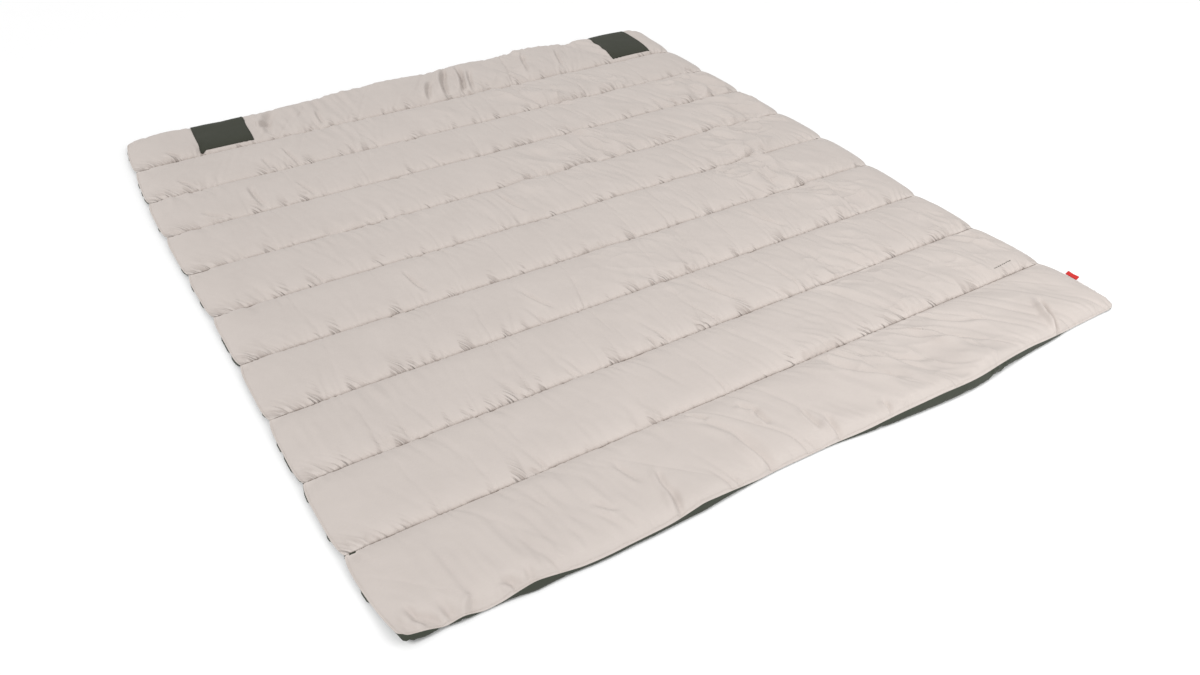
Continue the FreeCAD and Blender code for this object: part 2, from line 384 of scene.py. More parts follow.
drag_lines = wandering(sum(strength * slanted_noise(*line) for strength, *line in DRAG_LINES))
broad_folds = wandering(slanted_noise(*BROAD_LINES))
thin_folds = wandering(sum(strength * np.exp(-np.abs(slanted_noise(*line)) / width)
                           for strength, *line, width in THIN_LINES))
drag_where = smoothstep(*DRAG_RANGE, slanted_noise(WHERE_REACH, WHERE_REACH, 0))
drag_where = DRAG_LEAST + (1 - DRAG_LEAST) * drag_where
cross_lines = slanted_noise(*CROSS_LINES)
cross_where = smoothstep(*CROSS_RANGE, slanted_noise(WHERE_REACH, WHERE_REACH, 0))
small_lines = slanted_noise(*SMALL_LINES)
right_half = smoothstep(*RIGHT_SPAN, fine_x)
foot_folds = FOOT_LEAST + (1 - FOOT_LEAST) * smoothstep(*FOOT_SPAN, fine_x)


def toward_right(least):
    """A share that grows from its least on the left to 1 on the right."""
    return least + (1 - least) * right_half


def ridged(noise, width):
    """1 in the narrow lines where the noise crosses zero, 0 elsewhere."""
    return np.exp(-(noise / width) ** 2)


def blurred_along(field, reach):
    """Blurs each row, keeping its slope at the ends."""
    half = int(3 * reach / fine_step_x)
    weights = np.exp(-0.5 * (np.arange(-half, half + 1) * fine_step_x / reach) ** 2)
    padded = np.pad(field, ((0, 0), (half, half)), "reflect", reflect_type="odd")
    rows = [np.convolve(row, weights / weights.sum(), "valid") for row in padded]
    return np.stack(rows)


# Tucks along the seams: on both sides of each, in uneven groups, and most at the left end.
PUCKER_SPACING = 0.0140
PUCKER_GROUPS = 0.03
PUCKER_RANGE = (-0.5, 1.6)
PUCKER_LEAST = 0.15
PUCKER_WIDTH = 0.36
PUCKER_LENGTH = (0.008, 0.034)
PUCKER_FRONT = 0.60
PUCKER_BACK = 0.35
PUCKER_DEPTH = 0.0100
PUCKER_SLANT = math.tan(math.radians(22))
PUCKER_SLANT_LEFT = 0.9
PUCKER_SLANT_MORE = 0.6
END_PUCKERS = 0.10

sides = (CHANNELS, 2, 1, FINE_COLS)
pucker_noise = soft_noise(sides, (AS_IS, PUCKER_SPACING / fine_step_x))[:, :, 0]
pucker_where = soft_noise(sides, (AS_IS, PUCKER_GROUPS / fine_step_x))[:, :, 0]
pucker_where = smoothstep(*PUCKER_RANGE, pucker_where)
pucker_where = np.maximum(pucker_where, np.exp(-((fine_x - left_x) / END_PUCKERS) ** 2))


def puckered(rise, channel):
    """Draws the cloth down in short narrow tucks that start at the seams."""
    for side, away, depth in ((0, fine_up, PUCKER_FRONT), (1, 1 - fine_up, PUCKER_BACK)):
        away = away[:, None] * pitch
        where = pucker_where[channel, side][None, :]
        reach = PUCKER_LENGTH[0] + (PUCKER_LENGTH[1] - PUCKER_LENGTH[0]) * where ** 2
        slant = PUCKER_SLANT * (PUCKER_SLANT_LEFT + PUCKER_SLANT_MORE * right_half[None, :])
        shift = away * slant * (-1 if side else 1)
        place = np.clip(fine_x[None, :] + shift, left_x, right_x)
        tuck = np.interp(place, fine_x, ridged(pucker_noise[channel, side], PUCKER_WIDTH))
        fall = tuck * (PUCKER_LEAST + (1 - PUCKER_LEAST) * where) * np.exp(-away / reach)
        rise = rise * (1 - depth * fall) - PUCKER_DEPTH * depth * fall * where
    return np.maximum(rise, 0)


RIM_SHARES = (0.5, 0.85)


def outer_rim(channel):
    """1 at the head and foot edges of the quilt, fading out across the end channels."""
    share = np.zeros(FINE_ROWS)
    if channel == 0:
        share = smoothstep(*RIM_SHARES, fine_up)
    if channel == CHANNELS - 1:
        share = smoothstep(*RIM_SHARES, 1 - fine_up)
    return share[:, None]


# Larger folds, listed one by one: start x and y, end x and y, width, depth, bow.
FOLD_LINES = [
    (-.5, 1.06, -.57, .91, .014, .0085, .015), (-.53, 1.0, -.62, .9, .008, .005, .01),
    (-.89, .93, -.85, .89, .007, .0055, .004), (-.38, .99, -.39, .9, .007, .005, .004),
    (-.57, .78, -.55, .67, .006, .0045, .003), (-.64, .74, -.63, .67, .006, .004, .003),
    (-.73, .58, -.72, .45, .008, .006, .008), (-.6, .54, -.57, .45, .006, .0045, .004),
    (-.89, .5, -.83, .45, .007, .005, .004), (-.9, .73, -.86, .67, .006, .004, .004),
    (.15, 1.11, .06, .89, .01, .011, .012), (.18, 1.1, .12, .89, .009, .011, -.01),
    (.21, 1.04, .16, .89, .008, .008, .006), (.06, 1.02, -.01, .89, .009, .008, .01),
    (.46, 1.09, .4, .92, .008, .0065, .008), (.59, 1.06, .54, .91, .007, .006, .008),
    (-.77, -1.085, -.725, -1.14, .01, .012, -.006), (-.715, -1.08, -.705, -1.15, .008, .007, .003),
    (-.814, -1.095, -.845, -1.125, .007, .006, .004), (-.883, -1.07, -.836, -1.145, .009, .008, .006),
    (-.936, -1.08, -.88, -1.14, .008, .012, -.008), (-.937, -1.05, -.905, -1.115, .007, .007, .005),
    (-.378, -1.06, -.388, -1.146, .01, .009, .004), (-.372, -1.01, -.387, -1.078, .008, .005, .004),
    (-.178, -1.005, -.131, -1.145, .011, .011, .008), (-.104, -.93, -.077, -.975, .008, .006, .003),
    (-.082, -.96, -.08, -1.02, .008, .006, .003), (.033, -1.056, .038, -1.135, .008, .008, .004),
    (.005, -1.01, .005, -1.087, .007, .005, .003), (-.436, -.944, -.421, -1.027, .008, .004, .004),
    (-.532, -1.017, -.496, -1.064, .007, .004, .003), (.178, -1.09, .171, -1.135, .007, .006, .002),
    (-.224, -.9, -.191, -.945, .007, .006, .003), (-.23, -.92, -.14, -1.1, .012, .005, -.014),
    (.16, -.9, .28, -1.06, .014, .008, .014), (.24, -.91, .4, -1.04, .012, .006, .014),
    (.42, -.94, .52, -1.03, .012, .0065, .01), (.5, -.91, .62, -1.0, .01, .005, .01),
    (.8, -1.01, .745, -1.13, .008, .02, .004), (-.3, -.3, -.26, -.41, .007, .0045, .006),
    (-.52, -.07, -.5, -.19, .007, .0045, .006), (-.12, .17, -.09, .04, .007, .0045, .006),
    (.1, -.48, .16, -.62, .009, .005, .008), (.44, -.27, .5, -.4, .009, .005, .008),
]
FOLD_GAIN = 1.8
FOLD_START = (-0.05, 0.35)
FOLD_END = (-1.08, -0.75)
RIDGE_AWAY = 1.7
RIDGE_SHARE = 0.55
VALLEY_SHARE = 0.75


def hand_folds(cover):
    """Each fold is a valley with a softer ridge beside it, tapered to both ends."""
    height = np.zeros(cover.shape[:2])
    for start_x, start_y, end_x, end_y, width, depth, bow in FOLD_LINES:
        along = np.subtract((end_x, end_y), (start_x, start_y))
        length = np.hypot(*along)
        way = along / length
        from_x = cover[..., 0] - start_x
        from_y = cover[..., 1] - start_y
        run = (from_x * way[0] + from_y * way[1]) / length
        aside = from_x * way[1] - from_y * way[0] - bow * np.sin(np.pi * np.clip(run, 0, 1))
        taper = smoothstep(*FOLD_START, run) * smoothstep(*FOLD_END, -run)
        valley = np.exp(-(aside / width) ** 2)
        ridge = np.exp(-((aside - RIDGE_AWAY * width) / width) ** 2)
        height += FOLD_GAIN * depth * taper * (RIDGE_SHARE * ridge - VALLEY_SHARE * valley)
    return height


PATCH_SIDE_FADE = 0.012
PATCH_FRONT_FADE = 0.015


def patch_area(channel):
    """1 under the stiff head patches, fading out just beyond them."""
    area = np.zeros((FINE_ROWS, FINE_COLS))
    if channel == 0:
        y = lines_y[1] + pitch * fine_up
        for low, high in STIFF_SPANS:
            along = smoothstep(low[0] - PATCH_SIDE_FADE, low[0], fine_x)
            along = along * smoothstep(-high[0] - PATCH_SIDE_FADE, -high[0], -fine_x)
            area += smoothstep(low[1] - PATCH_FRONT_FADE, low[1], y)[:, None] * along[None, :]
    return area


# The crown as two rises: a steep one out of the seam and a slow one to the middle.
SEAM_WALL = 0.0030
SEAM_WALL_BACK = 0.0020
SEAM_WALL_REACH = 0.0015
WALL_SHARES = (0.3, 0.7)
FULL_RISE = 0.0275
CROWN_REACH = 0.016
CROWN_BLUR = 0.060
RIM_REACH = 0.0090
SIDE_RISE = 0.034
SIDE_REACH = 0.032
HEAD_LIFT_POWER = 0.7
CAP = 0.0048
LOWEST_COVER = 0.0005
# How strong the simulated wrinkles and each kind of line are, and where they stop.
WRINKLE_LEFT = 0.22
WRINKLE_MORE = 0.16
DRAG_DEPTH = 0.0040
DRAG_LEFT = 0.05
CROSS_SHARE = 0.35
CROSS_FADE = 0.7
THIN_DEPTH = 0.0068
THIN_LEFT = 0.04
BROAD_DEPTH = 0.0034
SMALL_DEPTH = 0.00025
SEAM_CLEAR = 0.020
SIDE_CLEAR = 0.05
FOLD_CLEAR = 0.006
PATCH_CALMS_WRINKLES = 0.85
PATCH_CALMS_CREASES = 0.9


def filled_out(crown, channel):
    """The height of a channel's crown over its seams, without wrinkles."""
    wall = SEAM_WALL + (SEAM_WALL_BACK - SEAM_WALL) * smoothstep(*WALL_SHARES, fine_up)[:, None]
    filled = wall * (1 - np.exp(-crown / SEAM_WALL_REACH))
    filled += (FULL_RISE - wall) * (1 - np.exp(-crown / CROWN_REACH))
    rounded = FULL_RISE * (1 - np.exp(-crown / RIM_REACH))
    filled += (rounded - filled) * outer_rim(channel)
    at_side = SIDE_RISE * (1 - np.exp(-fine_end / SIDE_REACH))[None, :]
    filled = filled * at_side / (filled ** 4 + at_side ** 4 + 1e-12) ** 0.25
    if channel == 0:
        arch = np.sin(np.pi * fine_up)[:, None] ** HEAD_LIFT_POWER
        filled = filled + curve(HEAD_LIFT, fine_x)[None, :] * arch
    return filled


def creases_of(channel):
    """The lines that the cloth is dragged into, kept clear of the seams and sides."""
    rows = slice((CHANNELS - 1 - channel) * FINE_ROWS, (CHANNELS - channel) * FINE_ROWS)
    dragged = drag_lines[rows] * drag_where[rows] * toward_right(DRAG_LEFT)
    crossed = cross_lines[rows] * cross_where[rows] * (1 - CROSS_FADE * right_half)
    thin = thin_folds[rows] * drag_where[rows] * toward_right(THIN_LEFT)
    creases = DRAG_DEPTH * (dragged + CROSS_SHARE * crossed) + THIN_DEPTH * thin
    creases += SMALL_DEPTH * small_lines[rows]
    if channel == CHANNELS - 1:
        creases += BROAD_DEPTH * broad_folds[rows] * foot_folds[None, :]
    clear = smoothstep(0, SEAM_CLEAR, fine_up * pitch)
    clear = clear * smoothstep(0, SEAM_CLEAR, (1 - fine_up) * pitch)
    return creases * clear[:, None] * smoothstep(0, SIDE_CLEAR, fine_end)[None, :]


def finish_cover(cover, laid, channel):
    """Fills the channel out to a flatter crown and adds the finer creases of the cloth."""
    rise = (cover - laid)[..., 2]
    crown = blurred_along(rise, CROWN_BLUR)
    under_patch = patch_area(channel)
    wrinkles = (rise - crown) * (1 - PATCH_CALMS_WRINKLES * under_patch)
    wrinkles = wrinkles * (WRINKLE_LEFT + WRINKLE_MORE * right_half)
    from_rim = np.minimum(fine_up, 1 - fine_up) * pitch
    folds = hand_folds(laid) * smoothstep(0, FOLD_CLEAR, from_rim)[:, None]
    creases = (creases_of(channel) + folds) * (1 - PATCH_CALMS_CREASES * under_patch)
    filled = filled_out(np.maximum(crown, 0), channel)
    rise = np.maximum(filled + wrinkles + creases, 0)
    rise = rise * under_patch + puckered(rise, channel) * (1 - under_patch)
    out = cover.copy()
    height = np.maximum(laid[..., 2] + rise, LOWEST_COVER)
    over = np.maximum(height - crown_z - CAP, 0)
    out[..., 2] = height - over + CAP * (1 - np.exp(-over / CAP))
    rim = rim_mask(FINE_ROWS, FINE_COLS)
    out[rim] = laid[rim]
    return out


# ---- lining
FLATTEN = 0.006
LOWEST_LINING = 0.0003
FOOT_PROUD = 0.6
FOOT_SWELL = 0.010
SIDE_PROUD = 0.007
SIDE_SWELL = 0.008
SLIVER_REACH = 0.012
SLIVER_RANGE = (0.1, 1.1)
FRONT_LEFT_FADE = (0.1, 0.35)
# Where the lining stands out past the left edge.
slivers = soft_noise((CHANNELS, 1, FINE_ROWS), (AS_IS, SLIVER_REACH / fine_step_y))[:, 0]
slivers = smoothstep(*SLIVER_RANGE, slivers)
slivers[-1] *= smoothstep(*FRONT_LEFT_FADE, fine_up)


def swell(inward, reach):
    """0 at an edge, 1 at a reach inward of it, and fading out beyond."""
    return inward / reach * np.exp(1 - inward / reach)


def lining_of(channel, covers, laids):
    """The under side: puckered at its rim and pressed flat where it lies on the floor."""
    other = (channel + CHANNELS // 2) % CHANNELS
    rise = (covers[other] - laids[other])[::-1, ::-1, 2]
    lining = laids[channel].copy()
    lining[..., 2] *= np.exp(-np.maximum(rise, 0) / FLATTEN)
    if channel == CHANNELS - 1:
        from_foot = swell(fine_up[:, None] * pitch, FOOT_SWELL)
        seam_height = np.interp(fine_x, flat_x, foot_seam_z)
        lining[..., 1] -= FOOT_PROUD * seam_height[None, :] * from_foot
    from_side = swell((fine_x - left_x)[None, :], SIDE_SWELL)
    lining[..., 0] -= SIDE_PROUD * slivers[channel][:, None] * from_side
    lining[..., 2] = np.maximum(lining[..., 2], LOWEST_LINING)
    rim = rim_mask(FINE_ROWS, FINE_COLS)
    lining[rim] = covers[channel][rim]
    return lining


# ---- all channels
laid_all = np.stack([laid_strip(n) for n in range(CHANNELS)])
flat_all = np.stack([flat_strip(n) for n in range(CHANNELS)])
cover_all = simulate(flat_all, laid_all)
laid_all = [finer(laid) for laid in laid_all]
cover_all = [finish_cover(finer(cover_all[n]), laid_all[n], n) for n in range(CHANNELS)]
lining_all = [lining_of(n, cover_all, laid_all) for n in range(CHANNELS)]


# ---- materials
class Value:
    """A shader output that Python's operators turn into Math nodes."""

    def __init__(self, shader, socket):
        self.shader = shader
        self.socket = socket

    def maths(self, operation, *others):
        return self.shader.node("ShaderNodeMath", {"operation": operation}, [self, *others])

    def __add__(self, other):
        return self.maths("ADD", other)

    def __sub__(self, other):
        return self.maths("SUBTRACT", other)

    def __rsub__(self, other):
        return self.shader.node("ShaderNodeMath", {"operation": "SUBTRACT"}, [other, self])

    def __mul__(self, other):
        return self.maths("MULTIPLY", other)

    __radd__ = __add__
    __rmul__ = __mul__


class Shader:
    """A material whose nodes all come from one method."""

    def __init__(self, name):
        self.material = bpy.data.materials.new(name)
        self.material.use_nodes = True
        self.tree = self.material.node_tree
        self.tree.nodes.clear()
        self.coords = self.node("ShaderNodeTexCoord", {}, {}, "Object")

    def node(self, kind, settings, inputs, output=0):
        made = self.tree.nodes.new(kind)
        for key, value in settings.items():
            setattr(made, key, value)
        pairs = inputs.items() if isinstance(inputs, dict) else enumerate(inputs)
        for key, value in pairs:
            if isinstance(value, Value):
                self.tree.links.new(value.socket, made.inputs[key])
            else:
                made.inputs[key].default_value = value
        return Value(self, made.outputs[output])

    def noise(self, scale, detail=2.0, roughness=0.5, where=None):
        return self.node("ShaderNodeTexNoise", {}, {"Vector": where or self.coords,
                         "Scale": scale, "Detail": detail, "Roughness": roughness})

    def scaled(self, scale):
        return self.node("ShaderNodeMapping", {}, {"Vector": self.coords, "Scale": scale})

    def bands(self, direction, per_metre, distortion=0.0):
        return self.node("ShaderNodeTexWave", {"wave_type": "BANDS",
                         "bands_direction": direction, "wave_profile": "SIN"},
                         {"Vector": self.coords, "Scale": per_metre * math.pi / 10,
                          "Distortion": distortion, "Detail": 0.0})

    def mix(self, factor, first, second):
        """Colours mixed by a factor; 6 and 7 are the node's colour inputs, 2 its colour output."""
        return self.node("ShaderNodeMix", {"data_type": "RGBA"},
                         {0: factor, 6: first, 7: second}, 2)

    def bump(self, height, strength, distance, normal=None):
        inputs = {"Height": height, "Strength": strength, "Distance": distance}
        if normal:
            inputs["Normal"] = normal
        return self.node("ShaderNodeBump", {}, inputs)

    def finish(self, **inputs):
        plain = {key.replace("_", " "): value for key, value in inputs.items()}
        surface = self.node("ShaderNodeBsdfPrincipled", {}, plain)
        end = self.tree.nodes.new("ShaderNodeOutputMaterial")
        self.tree.links.new(surface.socket, end.inputs["Surface"])
        return self.material


def rgb(red, green, blue):
    """A colour given as it looks on a screen, from 0 to 255."""
    def linear(value):
        value = value / 255
        return value / 12.92 if value < 0.04045 else ((value + 0.055) / 1.055) ** 2.4
    return (linear(red), linear(green), linear(blue), 1)


GATHER_SLANT = math.tan(math.radians(40))
GATHER_STRETCH = 0.15
GATHER_SCALE = 66.0
GATHER_SHARP = 9.5
GATHER_LEAST = 0.18
GATHER_REACH = 0.016
GATHER_LEAST_REACH = 0.004
GATHER_DEPTH = 0.0036
# How strongly painted shade darkens the tucks.
GATHER_SHADE_TONE = 0.42
SEAM_STEP = 3.7
GROUP_SCALE = 26.0
GROUP_CONTRAST = 7.0
GROUP_OFFSET = 3.4
END_REACH = 0.09
END_GAIN = 1.6
SHADE_REACH = 0.0012
SHADE_SCALE = (90.0, 12.0, 12.0)
SHADE_CONTRAST = 2.6
SHADE_OFFSET = 0.62
# Painted light beside the seams: how far it reaches and how strong it is.
PAINTED_LIGHT_REACH = 0.008
PAINTED_LIGHT_TONE = 0.60


def seam_distance(shader):
    """From the seam on the foot side, from the nearest seam, the seam's number, 1 if a seam."""
    y = shader.node("ShaderNodeSeparateXYZ", {}, [shader.coords], 1)
    turns = (y - seam_y[0]) * (1 / pitch)
    head_side = turns.maths("FRACT") * pitch
    near = head_side.maths("MINIMUM", pitch - head_side)
    inside = y.maths("ABSOLUTE").maths("LESS_THAN", seam_y[0] + pitch / 2)
    return head_side, near, turns.maths("FLOOR"), inside


def gathers(shader):
    """Short tucks that run out of each quilting seam on its head side: 1 in a tuck."""
    head_side, _, number, inside = seam_distance(shader)
    x = shader.node("ShaderNodeSeparateXYZ", {}, [shader.coords], 0)
    row = number * SEAM_STEP
    place = [x + head_side * GATHER_SLANT, head_side * GATHER_STRETCH + row, 0.0]
    place = shader.node("ShaderNodeCombineXYZ", {}, place)
    line = (shader.noise(GATHER_SCALE, 1.0, 0.5, place) - 0.5).maths("ABSOLUTE")
    line = (1 - line * GATHER_SHARP).maths("MAXIMUM", 0.0)
    groups = shader.node("ShaderNodeCombineXYZ", {}, [x, row, 0.0])
    groups = shader.noise(GROUP_SCALE, 1.0, 0.5, groups) * GROUP_CONTRAST - GROUP_OFFSET
    left_end = ((x - left_x) * (-1 / END_REACH)).maths("EXPONENT")
    where = groups.maths("MAXIMUM", left_end * END_GAIN).maths("MAXIMUM", GATHER_LEAST)
    where = where.maths("MINIMUM", 1.0)
    reach = where * GATHER_REACH + GATHER_LEAST_REACH
    fade = (head_side.maths("DIVIDE", reach) * -1.0).maths("EXPONENT")
    return line * fade * where * inside


def seam_shade(shader):
    """Painted shade: 1 in the groove of each seam, broken along its length, 0 elsewhere."""
    _, near, _, inside = seam_distance(shader)
    line = (near * (-1 / SHADE_REACH)).maths("EXPONENT")
    broken = shader.noise(1.0, 2.0, 0.7, shader.scaled(SHADE_SCALE))
    broken = broken * SHADE_CONTRAST - SHADE_OFFSET
    return (line * broken * inside).maths("MAXIMUM", 0.0).maths("MINIMUM", 1.0)


def painted_seam_light(shader):
    """Painted light: 1 along each seam, fading out over the cloth beside it."""
    _, near, _, inside = seam_distance(shader)
    return (near * (-1 / PAINTED_LIGHT_REACH)).maths("EXPONENT") * inside


THREAD_HEIGHT = 0.0002
CRINKLE_HEIGHT = 0.004
SLUB_SCALE = (40.0, 420.0, 420.0)
CRINKLE_SCALE = (46.0, 34.0, 34.0)
MOTTLE_SCALE = 9.0
MOTTLE_SHARE = 0.7
PLIES = 900.0


def woven(name, light, dark, threads, weave, crinkle, sheen, rough, quilted=None):
    """Plain woven cloth: fine threads both ways, soft mottling and a crinkled hand.

    The quilted colours are a painted light on the cloth beside the seams and a painted shade in their
    grooves and tucks.
    """
    shader = Shader(name)
    mottle = shader.noise(MOTTLE_SCALE, 3.0, 0.6)
    slub = shader.noise(1.0, 2.0, 0.5, shader.scaled(SLUB_SCALE))
    tone = mottle * MOTTLE_SHARE + slub * (1 - MOTTLE_SHARE)
    colour = shader.mix(tone, dark, light)
    warp = shader.bands("X", threads)
    weft = shader.bands("Y", threads)
    height = warp * 0.5 + weft * 0.5
    fine = shader.bump(height, weave, THREAD_HEIGHT)
    soft = shader.noise(1.0, 4.0, 0.55, shader.scaled(CRINKLE_SCALE))
    crease = shader.bump(soft, crinkle, CRINKLE_HEIGHT, fine)
    if quilted:
        tucks = gathers(shader)
        crease = shader.bump(tucks * -1.0, 1.0, GATHER_DEPTH, crease)
        # The quilted colours: a painted light for beside the seams and a painted shade for their
        # grooves and tucks.
        painted_light_colour, painted_shade_colour = quilted
        # Painted light: the cloth is lightened along each seam, where shade falls in the groove.
        colour = shader.mix(painted_seam_light(shader) * PAINTED_LIGHT_TONE, colour, painted_light_colour)
        # Painted shade: the cloth is darkened in the tucks as well as bumped.
        colour = shader.mix(tucks * GATHER_SHADE_TONE, colour, painted_shade_colour)
        # Painted shade: a broken dark line in the groove of each seam.
        colour = shader.mix(seam_shade(shader), colour, painted_shade_colour)
    return shader.finish(Base_Color=colour, Roughness=slub * 0.12 + rough, Normal=crease,
                         Sheen_Weight=sheen, Sheen_Roughness=0.5, Specular_IOR_Level=0.25)


def twisted(name, colour, dark):
    """Sewing thread, banded by its twist, with painted shade in the grooves between its plies."""
    shader = Shader(name)
    ply = shader.bands("X", PLIES, 1.0)
    # Painted shade: the thread is darker in the grooves of its twist.
    tone = shader.mix(ply, dark, colour)
    return shader.finish(Base_Color=tone, Roughness=ply * 0.2 + 0.5,
                         Normal=shader.bump(ply, 0.3, THREAD_HEIGHT))


# Its last two colours are a painted light beside the seams and a painted shade for their grooves and
# tucks.
sand_cloth = woven("sand_cover_cloth", rgb(202, 193, 187), rgb(190, 181, 175), threads=1400,
                   weave=0.25, crinkle=0.18, sheen=0.10, rough=0.72,
                   quilted=(rgb(221, 212, 206), rgb(116, 101, 92)))
olive_cloth = woven("olive_lining_cloth", rgb(64, 68, 58), rgb(52, 56, 47), threads=1400,
                    weave=0.3, crinkle=0.22, sheen=0.08, rough=0.70)
patch_cloth = woven("dark_patch_canvas", rgb(62, 64, 54), rgb(50, 52, 43), threads=700,
                    weave=0.6, crinkle=0.10, sheen=0.05, rough=0.78)
red_tape = woven("red_tag_tape", rgb(206, 52, 48), rgb(188, 40, 38), threads=900,
                 weave=0.6, crinkle=0.05, sheen=0.05, rough=0.6)
sand_thread = twisted("sand_quilting_thread", rgb(138, 124, 114), rgb(112, 99, 90))
dark_thread = twisted("dark_patch_thread", rgb(60, 62, 52), rgb(44, 46, 38))
edge_thread = twisted("sand_edge_thread", rgb(204, 195, 187), rgb(192, 183, 175))


# ---- pieces
def thicken(thing, thickness, offset):
    """Gives an open surface a wall, on one side of it or on both."""
    bpy.ops.object.select_all(action="DESELECT")
    thing.select_set(True)
    bpy.context.view_layer.objects.active = thing
    wall = thing.modifiers.new("thickness", "SOLIDIFY")
    wall.thickness = thickness
    wall.offset = offset
    bpy.ops.object.modifier_apply(modifier=wall.name)


def new_piece(name, places, faces, materials):
    """An object of smooth faces in the shared frame."""
    mesh = bpy.data.meshes.new(name)
    mesh.from_pydata(places.tolist(), [], faces.tolist())
    thing = bpy.data.objects.new(name, mesh)
    bpy.context.scene.collection.objects.link(thing)
    for material in materials:
        mesh.materials.append(material)
    mesh.polygons.foreach_set("use_smooth", np.ones(len(mesh.polygons), bool))
    return thing


def channel_pad(channel):
    """One filled channel: cover and lining joined all round their rim."""
    size = FINE_ROWS * FINE_COLS
    rim = rim_mask(FINE_ROWS, FINE_COLS).ravel()
    inner = np.flatnonzero(~rim)
    under = np.arange(size)
    under[inner] = size + np.arange(inner.size)
    places = np.concatenate([cover_all[channel].reshape(-1, 3),
                             lining_all[channel].reshape(-1, 3)[inner]])
    top = grid_quads(FINE_ROWS, FINE_COLS)
    faces = np.concatenate([top, under[top][:, ::-1]])
    number = f"{channel + 1:02d}"
    pad = new_piece(f"channel_pad_{number}", places, faces, [sand_cloth, olive_cloth])
    mesh = pad.data
    mesh.polygons.foreach_set("material_index", np.repeat([0, 1], len(top)))
    ends = np.empty(len(mesh.edges) * 2, int)
    mesh.edges.foreach_get("vertices", ends)
    on_rim = np.concatenate([rim, np.zeros(inner.size, bool)])
    sewn = on_rim[ends.reshape(-1, 2)].all(1)
    mesh.attributes.new("sharp_edge", "BOOLEAN", "EDGE").data.foreach_set("value", sewn)
    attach(pad, f"channel_{number}")
    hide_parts(f"top_cover_{number}", f"filling_{number}", f"lining_{number}")


for channel in range(CHANNELS):
    channel_pad(channel)


# ---- points on the pads
LAST_ROW = FINE_ROWS - 1.001
LAST_COL = FINE_COLS - 1.001
SEARCH_STEPS = 6


def grid_point(grid, row, col):
    """The point of a grid at fractional rows and columns."""
    row = np.clip(row, 0, LAST_ROW)
    col = np.clip(col, 0, LAST_COL)
    r = row.astype(int)
    c = col.astype(int)
    fr = (row - r)[..., None]
    fc = (col - c)[..., None]
    low = grid[r, c] * (1 - fc) + grid[r, c + 1] * fc
    high = grid[r + 1, c] * (1 - fc) + grid[r + 1, c + 1] * fc
    return low * (1 - fr) + high * fr


def rows_cols(grid, x, y, channel):
    """Where places given by x and y fall in a channel's grid."""
    row = (y - lines_y[channel + 1]) / fine_step_y
    col = (x - left_x) / fine_step_x
    for _ in range(SEARCH_STEPS):
        point = grid_point(grid, row, col)
        row = row + (y - point[..., 1]) / fine_step_y
        col = col + (x - point[..., 0]) / fine_step_x
    return row, col


def normals_of(points):
    """The upward normals at a grid's points."""
    along = np.gradient(points, axis=1)
    up = np.gradient(points, axis=0)
    normal = np.cross(along, up)
    return normal / np.linalg.norm(normal, axis=-1, keepdims=True)


def smoothed(points, times):
    """A grid's points eased toward their neighbours, with its rim kept."""
    for _ in range(times):
        inner = (points[:-2, 1:-1] + points[2:, 1:-1] + points[1:-1, :-2] + points[1:-1, 2:]) / 4
        points[1:-1, 1:-1] = 0.5 * points[1:-1, 1:-1] + 0.5 * inner
    return points


# ---- stitches
ROOT_CHANNEL = 5
THREAD_RISE = 0.0006
THREAD_RADIUS = 0.0006
EDGE_THREAD_RADIUS = 0.0003
PATCH_THREAD_RADIUS = 0.0004
MEND_THREAD_RADIUS = 0.0009
STITCH_PITCH = 0.0042
PATCH_STITCH_PITCH = 0.0036
MEND_STITCH_PITCH = 0.008
STITCH_SHARE = 0.7
MEND_STITCH_SHARE = 0.75
STITCH_SIDES = 4
# Places along a stitch from its middle, in its lengths, and its width there.
STATIONS = ((-0.5, 0.25), (-0.3, 1.0), (0.3, 1.0), (0.5, 0.25))
QUILTING_INSET = 3
RIM_INSET = 2
EDGE_COLUMN = 1
MEND_CHANNEL = 8
MEND_SPAN = (0.815, 0.890)
MEND_POINTS = 40
MEND_AWAY = 0.024
MEND_SLOPE = 0.1


